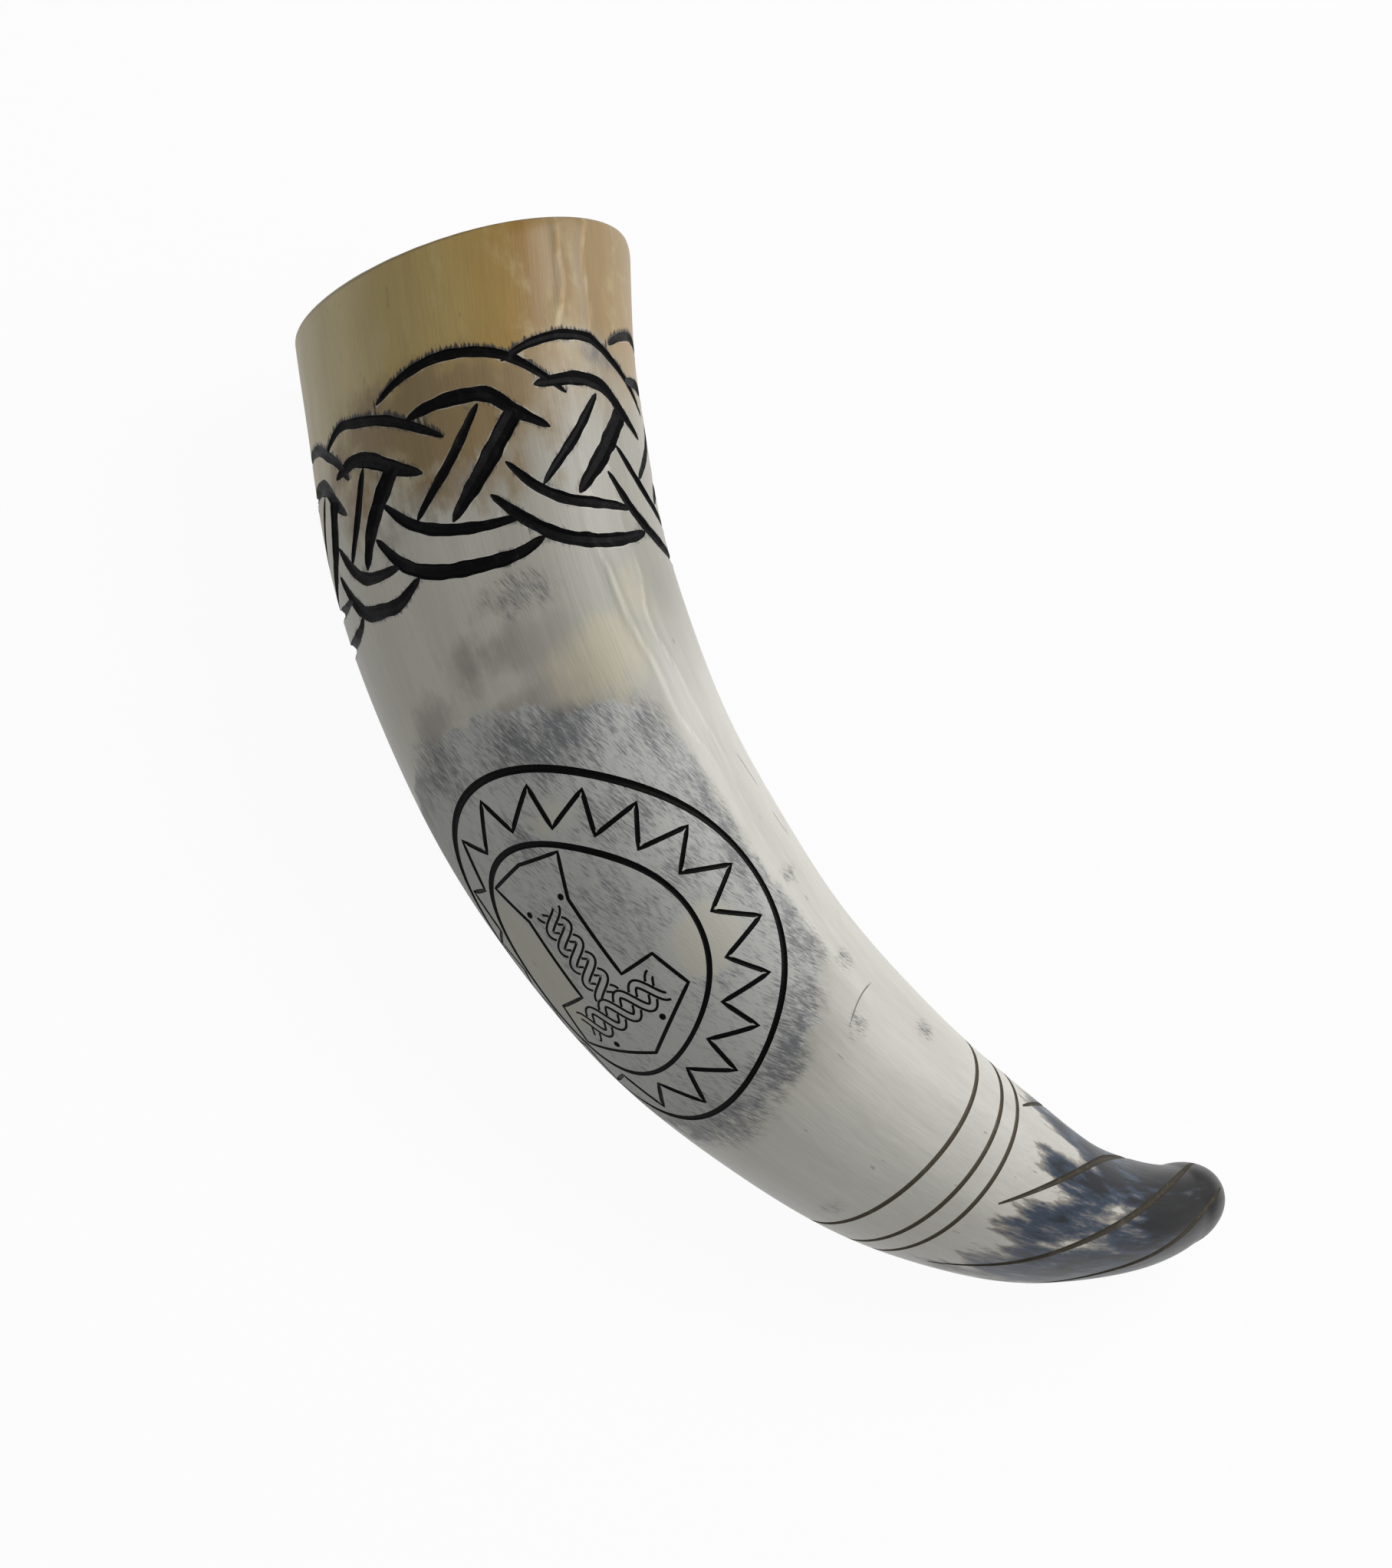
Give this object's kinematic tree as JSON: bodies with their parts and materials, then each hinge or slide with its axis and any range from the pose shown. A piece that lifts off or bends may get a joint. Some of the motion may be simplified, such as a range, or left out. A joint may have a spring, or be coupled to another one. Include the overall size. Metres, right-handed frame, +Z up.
{
  "type": "drinking horn",
  "caption": "Curved cattle-horn drinking vessel with a sealed hollow, a carved plait band, a round carved medallion, ring cuts and a twisted tip",
  "frame": {"origin": "middle of the bounding box, on the surface that the horn lies on", "axes": "+Z up as the horn lies on its side, +X from the mouth end to the tip end, -Y the side that the belly faces"},
  "size_m": [0.3008, 0.1504, 0.081],
  "materials": {
    "horn": "satin polished horn, ochre to cream with a charcoal tip",
    "lining": "clear gloss sealing coat over amber horn",
    "ink": "matte black ink in carved cuts",
    "stain": "matte brown-grey stain in carved cuts"
  },
  "bodies": {
    "root": {"horn_shell": "horn", "inner_lining": "lining", "plait_band_ink": "ink", "medallion_outer_ring_ink": "ink", "medallion_inner_ring_ink": "ink", "medallion_border_ink": "ink", "medallion_hammer_ink": "ink", "medallion_strands_ink": "ink", "tip_ring_stain_1": "stain", "tip_ring_stain_2": "stain", "tip_ring_stain_3": "stain", "tip_twist_stain_1": "stain", "tip_twist_stain_2": "stain", "tip_twist_stain_3": "stain", "tip_twist_stain_4": "stain", "tip_twist_stain_5": "stain", "tip_twist_stain_6": "stain"}
  },
  "joints": []
}
